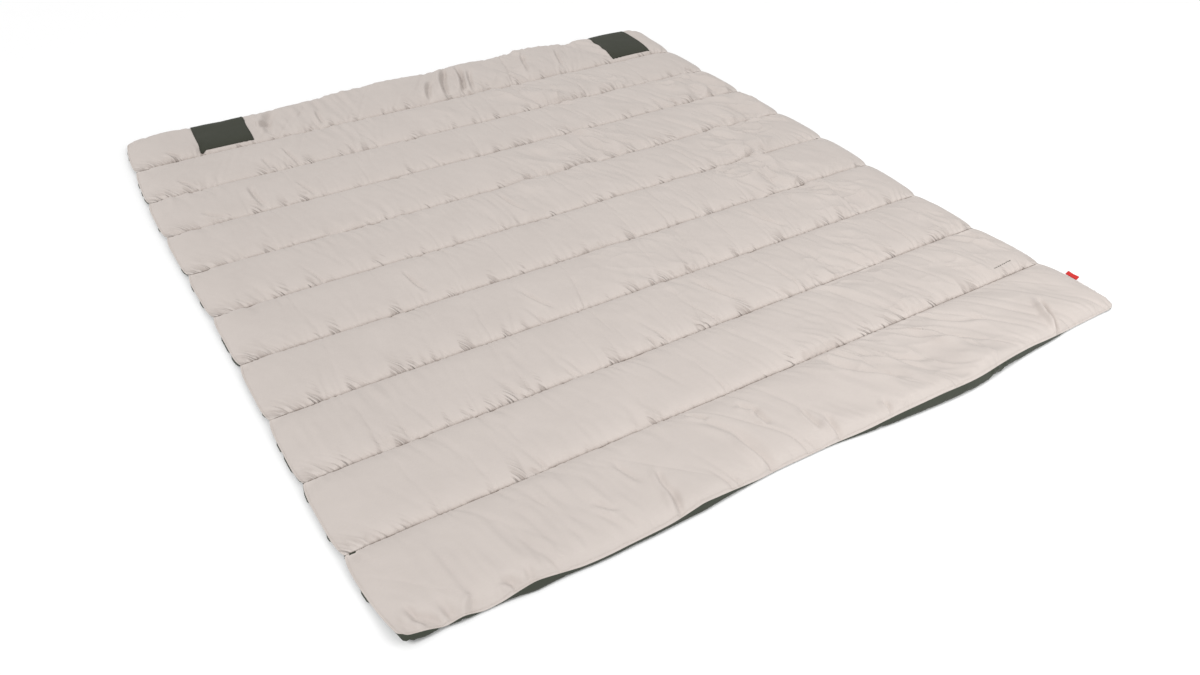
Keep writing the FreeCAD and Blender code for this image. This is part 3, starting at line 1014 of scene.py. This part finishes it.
def stitches(name, lines, radius, material, pitch_length=STITCH_PITCH, share=STITCH_SHARE):
    """Separate short stitches, tapered at both ends, along lines of points."""
    places = []
    faces = []
    ring = np.arange(STITCH_SIDES) * 2 * np.pi / STITCH_SIDES + np.pi / 4
    for line in lines:
        run = np.concatenate([[0], np.cumsum(np.linalg.norm(np.diff(line, axis=0), axis=1))])
        count = int(run[-1] / pitch_length)
        middles = (np.arange(count) + 0.5) * run[-1] / count
        ends = [np.stack([np.interp(middles + half * pitch_length * share, run, line[:, k])
                          for k in range(3)], -1) for half in (-0.5, 0.5)]
        middle = (ends[0] + ends[1]) / 2
        way = ends[1] - ends[0]
        length = np.linalg.norm(way, axis=1, keepdims=True)
        way = way / length
        side = np.cross(way, (0, 0, 1.0))
        side /= np.linalg.norm(side, axis=1, keepdims=True) + 1e-9
        over = np.cross(side, way)
        first = sum(len(p) for p in places)
        rings = []
        for station, width in STATIONS:
            for angle in ring:
                rings.append(middle + way * length * station
                             + radius * width * (side * math.cos(angle) + over * math.sin(angle)))
        points = np.stack(rings, 1)
        places.append(points.reshape(-1, 3))
        per = len(STATIONS) * STITCH_SIDES
        quads = []
        for band in range(len(STATIONS) - 1):
            for k in range(STITCH_SIDES):
                a = band * STITCH_SIDES + k
                b = band * STITCH_SIDES + (k + 1) % STITCH_SIDES
                quads.append((a, a + STITCH_SIDES, b + STITCH_SIDES, b))
        quads.append(tuple(range(STITCH_SIDES)))
        last = per - STITCH_SIDES
        quads.append(tuple(range(last + STITCH_SIDES - 1, last - 1, -1)))
        starts = first + np.arange(count)[:, None, None] * per
        faces.append((starts + np.array(quads)[None]).reshape(-1, 4))
    return new_piece(name, np.concatenate(places), np.concatenate(faces), [material])


def quilting_stitches(seam):
    """Both rows of one quilting line, on the cover and under the lining."""
    points = cover_all[seam - 1][0, QUILTING_INSET:-QUILTING_INSET]
    above = points + (0, 0, THREAD_RISE)
    below = points - (0, 0, THREAD_RISE)
    number = f"{seam:02d}"
    thread = stitches(f"quilting_stitches_{number}", [above, below], THREAD_RADIUS, sand_thread)
    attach(thread, f"channel_{seam if seam >= ROOT_CHANNEL else seam + 1:02d}")
    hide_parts(f"quilting_thread_{number}")


def edge_stitches(channel):
    """The closing seam down both side edges of a channel."""
    number = f"{channel + 1:02d}"
    grid = cover_all[channel]
    raised = grid + normals_of(grid) * THREAD_RISE
    lines = [raised[1:-1, EDGE_COLUMN], raised[1:-1, -1 - EDGE_COLUMN]]
    thread = stitches(f"side_seam_stitches_{number}", lines, EDGE_THREAD_RADIUS, edge_thread)
    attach(thread, f"channel_{number}")
    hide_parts(f"side_seam_thread_{number}")


def rim_stitches(name, channel, row, node):
    """The closing seam along the head or foot edge."""
    grid = cover_all[channel]
    line = (grid + normals_of(grid) * THREAD_RISE)[row, RIM_INSET:-RIM_INSET]
    thread = stitches(name, [line], EDGE_THREAD_RADIUS, edge_thread)
    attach(thread, f"channel_{channel + 1:02d}")
    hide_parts(node)


def tuck_stitches():
    """A short mended tuck in darker thread beside the last quilting line."""
    x = np.linspace(*MEND_SPAN, MEND_POINTS)
    y = seam_y[-1] + MEND_AWAY + MEND_SLOPE * (x - x[0])
    row, col = rows_cols(cover_all[MEND_CHANNEL], x, y, MEND_CHANNEL)
    line = grid_point(cover_all[MEND_CHANNEL], row, col) + (0, 0, THREAD_RISE)
    thread = stitches("tuck_stitches", [line], MEND_THREAD_RADIUS, dark_thread,
                      MEND_STITCH_PITCH, MEND_STITCH_SHARE)
    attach(thread, f"channel_{MEND_CHANNEL + 1:02d}")


for seam in range(1, CHANNELS):
    quilting_stitches(seam)
for channel in range(CHANNELS):
    edge_stitches(channel)
rim_stitches("head_edge_stitches", 0, -2, "head_edge_thread")
rim_stitches("foot_edge_stitches", CHANNELS - 1, 1, "foot_edge_thread")
tuck_stitches()


# ---- patches
PATCH_GRID = 0.003
PATCH_LIFT = 0.0007
PATCH_THICKNESS = 0.0008
PATCH_UNDER = 0.016
PATCH_SMOOTHING = 14
PATCH_LOWEST = 0.0001
PATCH_STITCH_INSET = 1


def head_patch(side):
    """A canvas patch sewn over the head edge and turned a little way under it."""
    low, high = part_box(f"head_patch_{side}")
    cols = int((high[0] - low[0]) / PATCH_GRID)
    front = low[1]
    back = cover_all[0][-1, :, 1].max()
    x = np.linspace(low[0], high[0], cols)
    top_rows = int((back - front) / PATCH_GRID)
    row, _ = rows_cols(cover_all[0], x, np.full(cols, front), 0)
    _, col = rows_cols(cover_all[0], x, np.full(cols, (front + back) / 2), 0)
    share = np.linspace(0, 1, top_rows)[:, None]
    rows = row[None, :] + (LAST_ROW - row[None, :]) * share
    over = grid_point(cover_all[0], rows, np.broadcast_to(col, rows.shape))
    under_rows = int(PATCH_UNDER / PATCH_GRID)
    back_rows = FINE_ROWS - 1 - np.arange(1, under_rows + 1)[:, None] * PATCH_GRID / fine_step_y
    back_rows = np.broadcast_to(back_rows, (under_rows, cols))
    under = grid_point(lining_all[0], back_rows, np.broadcast_to(col, back_rows.shape))
    surface = smoothed(np.concatenate([over, under]), PATCH_SMOOTHING)
    surface = surface + normals_of(surface) * PATCH_LIFT
    surface[..., 2] = np.maximum(surface[..., 2], PATCH_LOWEST + PATCH_THICKNESS)
    faces = grid_quads(*surface.shape[:2])
    patch = new_piece(f"head_patch_canvas_{side}", surface.reshape(-1, 3), faces, [patch_cloth])
    thicken(patch, PATCH_THICKNESS, 1)
    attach(patch, "channel_01")
    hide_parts(f"head_patch_{side}")
    outside = surface + normals_of(surface) * (PATCH_THICKNESS + THREAD_RISE / 2)
    k = PATCH_STITCH_INSET
    loop = [outside[k:top_rows, k], outside[k, k:-k], outside[k:top_rows, -1 - k]]
    thread = stitches(f"patch_stitches_{side}", loop, PATCH_THREAD_RADIUS, dark_thread,
                      PATCH_STITCH_PITCH)
    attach(thread, "channel_01")
    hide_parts(f"head_patch_{side}_thread")


for side in ("left", "right"):
    head_patch(side)


# ---- side tag
TAG_LAYER = 0.0007
TAG_GAP = 0.0005
TAG_RISE = math.radians(28)
TAG_SWAY = 0.0006
TAG_POINTS_ACROSS = 18
TAG_POINTS_ALONG = 14
TAG_POINTS_ROUND = 7


def side_tag():
    """A short loop of woven tape, folded at its outer end and sewn into the side seam."""
    low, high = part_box("side_tag")
    start_x = low[0]
    reach = high[0] - low[0]
    width = high[1] - low[1]
    base_z = (low[2] + high[2]) / 2
    across = np.linspace(0, 1, TAG_POINTS_ACROSS)
    along = np.linspace(0, 1, TAG_POINTS_ALONG)
    fold = TAG_GAP / 2 + TAG_LAYER / 2
    section = [(reach * t, fold) for t in along[:-1]]
    section += [(reach + fold * (math.sin(a) - 1), fold * math.cos(a))
                for a in np.linspace(0, math.pi, TAG_POINTS_ROUND)]
    section += [(reach * t, -fold) for t in along[-2::-1]]
    points = []
    for out, up in section:
        x = start_x + out * math.cos(TAG_RISE) - up * math.sin(TAG_RISE)
        z = base_z + out * math.sin(TAG_RISE) + up * math.cos(TAG_RISE)
        sway = TAG_SWAY * np.sin(across * 7 + 1) * out / reach
        points.append(np.stack([np.full_like(across, x), low[1] + width * across, z + sway], -1))
    points = np.stack(points, 1)
    tape = new_piece("side_tag_tape", points.reshape(-1, 3), grid_quads(*points.shape[:2]),
                     [red_tape])
    thicken(tape, TAG_LAYER, 0)
    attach(tape, "tag")
    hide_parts("side_tag")


side_tag()


# ---- stage
CAMERA_PLACE = Vector((-1.2405, -2.1539, 1.442))
CAMERA_AIM = Vector((-0.2233, -0.5614, 0.02))
CAMERA_ROLL = math.radians(0.96)
LENS = 29.70
SENSOR = 36
FAR = 60
FLOOR_SIZE = 40
FLOOR_COLOUR = rgb(252, 252, 252)
SURROUNDING_LIGHT = 0.68


def turn(thing, rotation):
    thing.rotation_mode = "QUATERNION"
    thing.rotation_quaternion = rotation


def make_camera():
    bpy.ops.object.camera_add(location=CAMERA_PLACE)
    camera = bpy.context.object
    camera.data.lens = LENS
    camera.data.sensor_width = SENSOR
    camera.data.clip_end = FAR
    look = (CAMERA_AIM - CAMERA_PLACE).to_track_quat("-Z", "Y")
    turn(camera, look @ Quaternion((0, 0, 1), CAMERA_ROLL))
    bpy.context.scene.camera = camera


def soft_light(name, place, aim, size, watts):
    """A round lamp at a place, facing an aim."""
    bpy.ops.object.light_add(type="AREA", location=place)
    light = bpy.context.object
    light.name = name
    light.data.shape = "DISK"
    light.data.size = size
    light.data.energy = watts
    turn(light, (Vector(aim) - Vector(place)).to_track_quat("-Z", "Y"))


def soft_sun(name, source, spread, strength):
    """A sun whose light comes from the direction of its source, spread over some degrees."""
    bpy.ops.object.light_add(type="SUN")
    sun = bpy.context.object
    sun.name = name
    sun.data.angle = math.radians(spread)
    sun.data.energy = strength
    turn(sun, Vector(source).to_track_quat("Z", "Y"))


def make_floor():
    bpy.ops.mesh.primitive_plane_add(size=FLOOR_SIZE, location=(0, 0, 0))
    floor = bpy.context.object
    floor.name = "pale_floor"
    shader = Shader("pale_floor")
    floor.data.materials.append(shader.finish(Base_Color=FLOOR_COLOUR, Roughness=0.9))


def make_world():
    world = bpy.data.worlds.new("studio")
    world.use_nodes = True
    background = world.node_tree.nodes["Background"]
    background.inputs["Color"].default_value = (1, 1, 1, 1)
    background.inputs["Strength"].default_value = SURROUNDING_LIGHT
    bpy.context.scene.world = world


make_camera()
make_floor()
make_world()
soft_sun("high_soft_sun", source=(-0.70, -0.12, 1.00), spread=20, strength=1.30)
soft_light("front_soft_light", place=(0.7, -2.6, 1.5), aim=(0.1, -1.0, 0), size=1.8, watts=20)
bpy.context.scene.view_settings.view_transform = "Standard"
